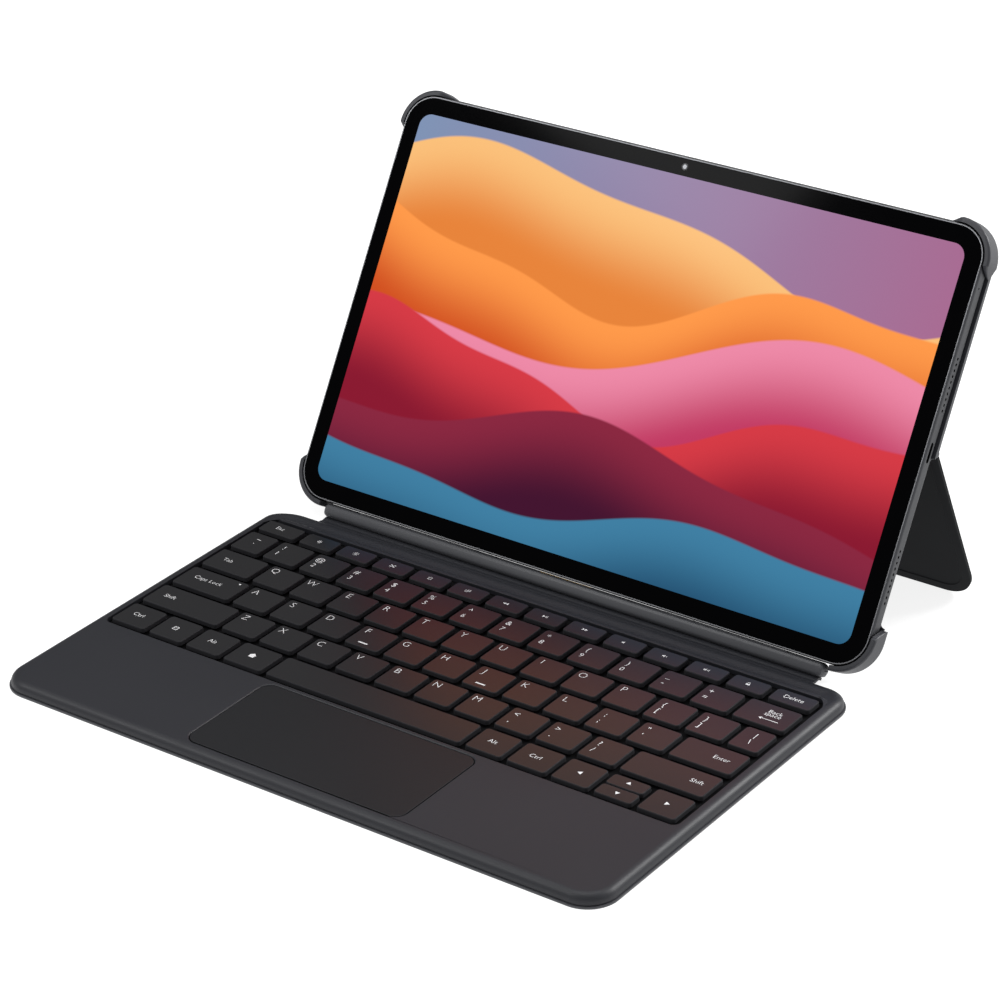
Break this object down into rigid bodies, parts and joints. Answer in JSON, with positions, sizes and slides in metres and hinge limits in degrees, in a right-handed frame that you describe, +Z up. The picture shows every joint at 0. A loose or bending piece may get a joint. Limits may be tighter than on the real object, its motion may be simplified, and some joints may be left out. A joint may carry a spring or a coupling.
{
  "type": "tablet keyboard case",
  "caption": "Tablet keyboard case: slim keyboard deck with trackpad, folding spine bar, and a clip-on back shell with a full-width kickstand holding a tablet.",
  "frame": {"origin": "middle of the footprint, on the table that the keyboard and the kickstand stand on", "axes": "+X to the typist's right, +Y from the palm rest to the tablet, +Z up"},
  "size_m": [0.283, 0.282, 0.1622],
  "materials": {
    "soft_skin": "soft-touch polyurethane skin, fine matt grain",
    "lip_plastic": "matt moulded plastic",
    "key_plastic": "satin moulded plastic with light legends",
    "film": "clear printed film",
    "pad_glass": "matt coated touch surface",
    "board": "solder-masked circuit board",
    "cell": "laminated pouch cell",
    "bar_plastic": "matt moulded plastic",
    "contact": "gold-plated contacts",
    "magnet": "nickel-plated magnet",
    "shell_plastic": "matt polycarbonate with a soft coating",
    "lining": "brushed microfibre",
    "pin_steel": "drawn steel",
    "tablet_metal": "anodised, bead blasted",
    "tablet_glass": "polished cover glass over a black border",
    "display": "lit display panel"
  },
  "bodies": {
    "keyboard": {"bottom_cover": "lip_plastic", "top_cover": "soft_skin", "key_plate": "key_plastic", "switch_membrane": "film", "trackpad_switch": "board", "battery_pack": "cell", "control_board": "board", "fold_strip": "soft_skin"},
    "trackpad": {"trackpad": "pad_glass"},
    "spine": {"spine_bar": "bar_plastic", "pogo_contacts": "contact", "spine_magnet_left": "magnet", "spine_magnet_right": "magnet"},
    "case": {"back_shell": "shell_plastic", "shell_lining": "lining", "hinge_pin_left": "pin_steel", "hinge_pin_right": "pin_steel"},
    "kickstand": {"kickstand": "shell_plastic"},
    "tablet": {"tablet_housing": "tablet_metal", "tablet_glass": "tablet_glass", "tablet_display": "display"},
    "key_1": {"key_1": "key_plastic"},
    "key_2": {"key_2": "key_plastic"},
    "key_3": {"key_3": "key_plastic"},
    "key_4": {"key_4": "key_plastic"},
    "key_5": {"key_5": "key_plastic"},
    "key_6": {"key_6": "key_plastic"},
    "key_7": {"key_7": "key_plastic"},
    "key_8": {"key_8": "key_plastic"},
    "key_9": {"key_9": "key_plastic"},
    "key_0": {"key_0": "key_plastic"},
    "key_q": {"key_q": "key_plastic"},
    "key_w": {"key_w": "key_plastic"},
    "key_e": {"key_e": "key_plastic"},
    "key_r": {"key_r": "key_plastic"},
    "key_t": {"key_t": "key_plastic"},
    "key_y": {"key_y": "key_plastic"},
    "key_u": {"key_u": "key_plastic"},
    "key_i": {"key_i": "key_plastic"},
    "key_o": {"key_o": "key_plastic"},
    "key_p": {"key_p": "key_plastic"},
    "key_a": {"key_a": "key_plastic"},
    "key_s": {"key_s": "key_plastic"},
    "key_d": {"key_d": "key_plastic"},
    "key_f": {"key_f": "key_plastic"},
    "key_g": {"key_g": "key_plastic"},
    "key_h": {"key_h": "key_plastic"},
    "key_j": {"key_j": "key_plastic"},
    "key_k": {"key_k": "key_plastic"},
    "key_l": {"key_l": "key_plastic"},
    "key_z": {"key_z": "key_plastic"},
    "key_x": {"key_x": "key_plastic"},
    "key_c": {"key_c": "key_plastic"},
    "key_v": {"key_v": "key_plastic"},
    "key_b": {"key_b": "key_plastic"},
    "key_n": {"key_n": "key_plastic"},
    "key_m": {"key_m": "key_plastic"},
    "key_space": {"key_space": "key_plastic"}
  },
  "joints": [
    {"name": "fold", "type": "hinge", "parent": "keyboard", "child": "spine", "pos_m": [0, 0.03879, 0.00647], "axis": [1, 0, 0], "range_deg": [-20, 120.9], "deforming": ["fold_strip"]},
    {"name": "dock_lift", "type": "slide", "parent": "spine", "child": "case", "axis": [0, 0.514, 0.8578], "range_m": [0, 0.03]},
    {"name": "kickstand_swing", "type": "hinge", "parent": "case", "child": "kickstand", "pos_m": [0, 0.09527, 0.08023], "axis": [1, 0, 0], "range_deg": [-56.3, 40]},
    {"name": "tablet_lift", "type": "slide", "parent": "case", "child": "tablet", "axis": [0, 0.8578, -0.514], "range_m": [-0.012, 0]},
    {"name": "trackpad_press", "type": "slide", "parent": "keyboard", "child": "trackpad", "axis": [0, 0, -1], "range_m": [0, 0.00035], "stiffness_N_per_m": 4000},
    {"name": "key_1_press", "type": "slide", "parent": "keyboard", "child": "key_1", "axis": [0, 0, -1], "range_m": [0, 0.001], "stiffness_N_per_m": 500},
    {"name": "key_2_press", "type": "slide", "parent": "keyboard", "child": "key_2", "axis": [0, 0, -1], "range_m": [0, 0.001], "stiffness_N_per_m": 500},
    {"name": "key_3_press", "type": "slide", "parent": "keyboard", "child": "key_3", "axis": [0, 0, -1], "range_m": [0, 0.001], "stiffness_N_per_m": 500},
    {"name": "key_4_press", "type": "slide", "parent": "keyboard", "child": "key_4", "axis": [0, 0, -1], "range_m": [0, 0.001], "stiffness_N_per_m": 500},
    {"name": "key_5_press", "type": "slide", "parent": "keyboard", "child": "key_5", "axis": [0, 0, -1], "range_m": [0, 0.001], "stiffness_N_per_m": 500},
    {"name": "key_6_press", "type": "slide", "parent": "keyboard", "child": "key_6", "axis": [0, 0, -1], "range_m": [0, 0.001], "stiffness_N_per_m": 500},
    {"name": "key_7_press", "type": "slide", "parent": "keyboard", "child": "key_7", "axis": [0, 0, -1], "range_m": [0, 0.001], "stiffness_N_per_m": 500},
    {"name": "key_8_press", "type": "slide", "parent": "keyboard", "child": "key_8", "axis": [0, 0, -1], "range_m": [0, 0.001], "stiffness_N_per_m": 500},
    {"name": "key_9_press", "type": "slide", "parent": "keyboard", "child": "key_9", "axis": [0, 0, -1], "range_m": [0, 0.001], "stiffness_N_per_m": 500},
    {"name": "key_0_press", "type": "slide", "parent": "keyboard", "child": "key_0", "axis": [0, 0, -1], "range_m": [0, 0.001], "stiffness_N_per_m": 500},
    {"name": "key_q_press", "type": "slide", "parent": "keyboard", "child": "key_q", "axis": [0, 0, -1], "range_m": [0, 0.001], "stiffness_N_per_m": 500},
    {"name": "key_w_press", "type": "slide", "parent": "keyboard", "child": "key_w", "axis": [0, 0, -1], "range_m": [0, 0.001], "stiffness_N_per_m": 500},
    {"name": "key_e_press", "type": "slide", "parent": "keyboard", "child": "key_e", "axis": [0, 0, -1], "range_m": [0, 0.001], "stiffness_N_per_m": 500},
    {"name": "key_r_press", "type": "slide", "parent": "keyboard", "child": "key_r", "axis": [0, 0, -1], "range_m": [0, 0.001], "stiffness_N_per_m": 500},
    {"name": "key_t_press", "type": "slide", "parent": "keyboard", "child": "key_t", "axis": [0, 0, -1], "range_m": [0, 0.001], "stiffness_N_per_m": 500},
    {"name": "key_y_press", "type": "slide", "parent": "keyboard", "child": "key_y", "axis": [0, 0, -1], "range_m": [0, 0.001], "stiffness_N_per_m": 500},
    {"name": "key_u_press", "type": "slide", "parent": "keyboard", "child": "key_u", "axis": [0, 0, -1], "range_m": [0, 0.001], "stiffness_N_per_m": 500},
    {"name": "key_i_press", "type": "slide", "parent": "keyboard", "child": "key_i", "axis": [0, 0, -1], "range_m": [0, 0.001], "stiffness_N_per_m": 500},
    {"name": "key_o_press", "type": "slide", "parent": "keyboard", "child": "key_o", "axis": [0, 0, -1], "range_m": [0, 0.001], "stiffness_N_per_m": 500},
    {"name": "key_p_press", "type": "slide", "parent": "keyboard", "child": "key_p", "axis": [0, 0, -1], "range_m": [0, 0.001], "stiffness_N_per_m": 500},
    {"name": "key_a_press", "type": "slide", "parent": "keyboard", "child": "key_a", "axis": [0, 0, -1], "range_m": [0, 0.001], "stiffness_N_per_m": 500},
    {"name": "key_s_press", "type": "slide", "parent": "keyboard", "child": "key_s", "axis": [0, 0, -1], "range_m": [0, 0.001], "stiffness_N_per_m": 500},
    {"name": "key_d_press", "type": "slide", "parent": "keyboard", "child": "key_d", "axis": [0, 0, -1], "range_m": [0, 0.001], "stiffness_N_per_m": 500},
    {"name": "key_f_press", "type": "slide", "parent": "keyboard", "child": "key_f", "axis": [0, 0, -1], "range_m": [0, 0.001], "stiffness_N_per_m": 500},
    {"name": "key_g_press", "type": "slide", "parent": "keyboard", "child": "key_g", "axis": [0, 0, -1], "range_m": [0, 0.001], "stiffness_N_per_m": 500},
    {"name": "key_h_press", "type": "slide", "parent": "keyboard", "child": "key_h", "axis": [0, 0, -1], "range_m": [0, 0.001], "stiffness_N_per_m": 500},
    {"name": "key_j_press", "type": "slide", "parent": "keyboard", "child": "key_j", "axis": [0, 0, -1], "range_m": [0, 0.001], "stiffness_N_per_m": 500},
    {"name": "key_k_press", "type": "slide", "parent": "keyboard", "child": "key_k", "axis": [0, 0, -1], "range_m": [0, 0.001], "stiffness_N_per_m": 500},
    {"name": "key_l_press", "type": "slide", "parent": "keyboard", "child": "key_l", "axis": [0, 0, -1], "range_m": [0, 0.001], "stiffness_N_per_m": 500},
    {"name": "key_z_press", "type": "slide", "parent": "keyboard", "child": "key_z", "axis": [0, 0, -1], "range_m": [0, 0.001], "stiffness_N_per_m": 500},
    {"name": "key_x_press", "type": "slide", "parent": "keyboard", "child": "key_x", "axis": [0, 0, -1], "range_m": [0, 0.001], "stiffness_N_per_m": 500},
    {"name": "key_c_press", "type": "slide", "parent": "keyboard", "child": "key_c", "axis": [0, 0, -1], "range_m": [0, 0.001], "stiffness_N_per_m": 500},
    {"name": "key_v_press", "type": "slide", "parent": "keyboard", "child": "key_v", "axis": [0, 0, -1], "range_m": [0, 0.001], "stiffness_N_per_m": 500},
    {"name": "key_b_press", "type": "slide", "parent": "keyboard", "child": "key_b", "axis": [0, 0, -1], "range_m": [0, 0.001], "stiffness_N_per_m": 500},
    {"name": "key_n_press", "type": "slide", "parent": "keyboard", "child": "key_n", "axis": [0, 0, -1], "range_m": [0, 0.001], "stiffness_N_per_m": 500},
    {"name": "key_m_press", "type": "slide", "parent": "keyboard", "child": "key_m", "axis": [0, 0, -1], "range_m": [0, 0.001], "stiffness_N_per_m": 500},
    {"name": "key_space_press", "type": "slide", "parent": "keyboard", "child": "key_space", "axis": [0, 0, -1], "range_m": [0, 0.001], "stiffness_N_per_m": 500}
  ]
}
